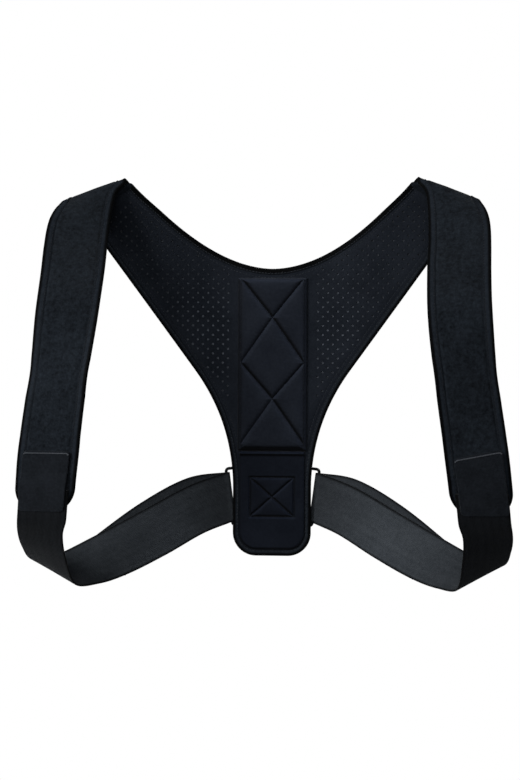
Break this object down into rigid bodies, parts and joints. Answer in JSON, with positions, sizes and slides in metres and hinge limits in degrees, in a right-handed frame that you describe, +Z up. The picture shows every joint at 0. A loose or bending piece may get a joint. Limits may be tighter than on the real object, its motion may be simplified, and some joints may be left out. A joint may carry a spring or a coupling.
{
  "type": "posture corrector",
  "caption": "Y-shaped upper-back brace: perforated wings, quilted spine pad, padded shoulder straps and elastic webbing drawn back through rings to the tongue.",
  "frame": {"origin": "middle of the back panel's neck edge, at the nape of the neck", "axes": "+Z up along the spine, +X to the wearer's left, -Y the way the wearer faces"},
  "size_m": [0.4696, 0.1616, 0.4013],
  "materials": {
    "panel_fabric": "matt perforated foam-backed knit, near black",
    "pad_fabric": "matt quilted spacer fabric, near black",
    "edge_tape": "smooth folded edge tape, black",
    "loop_fabric": "brushed loop pile, near black",
    "webbing": "ribbed elastic webbing, dark grey, slight sheen",
    "hook_fabric": "fine hook fabric with a light grey stitch row, black",
    "ring": "black coated wire, satin"
  },
  "bodies": {
    "root": {"back_panel": "panel_fabric", "neck_binding": "edge_tape", "lower_binding": "edge_tape", "spine_pad": "pad_fabric", "lower_patch": "pad_fabric", "ring_keeper": "webbing", "ring_left": "ring", "ring_right": "ring", "strap_left": "loop_fabric", "strap_right": "loop_fabric", "strap_binding_left": "edge_tape", "strap_binding_right": "edge_tape", "webbing_left": "webbing", "webbing_right": "webbing", "hook_tab_left": "hook_fabric", "hook_tab_right": "hook_fabric"}
  },
  "joints": []
}
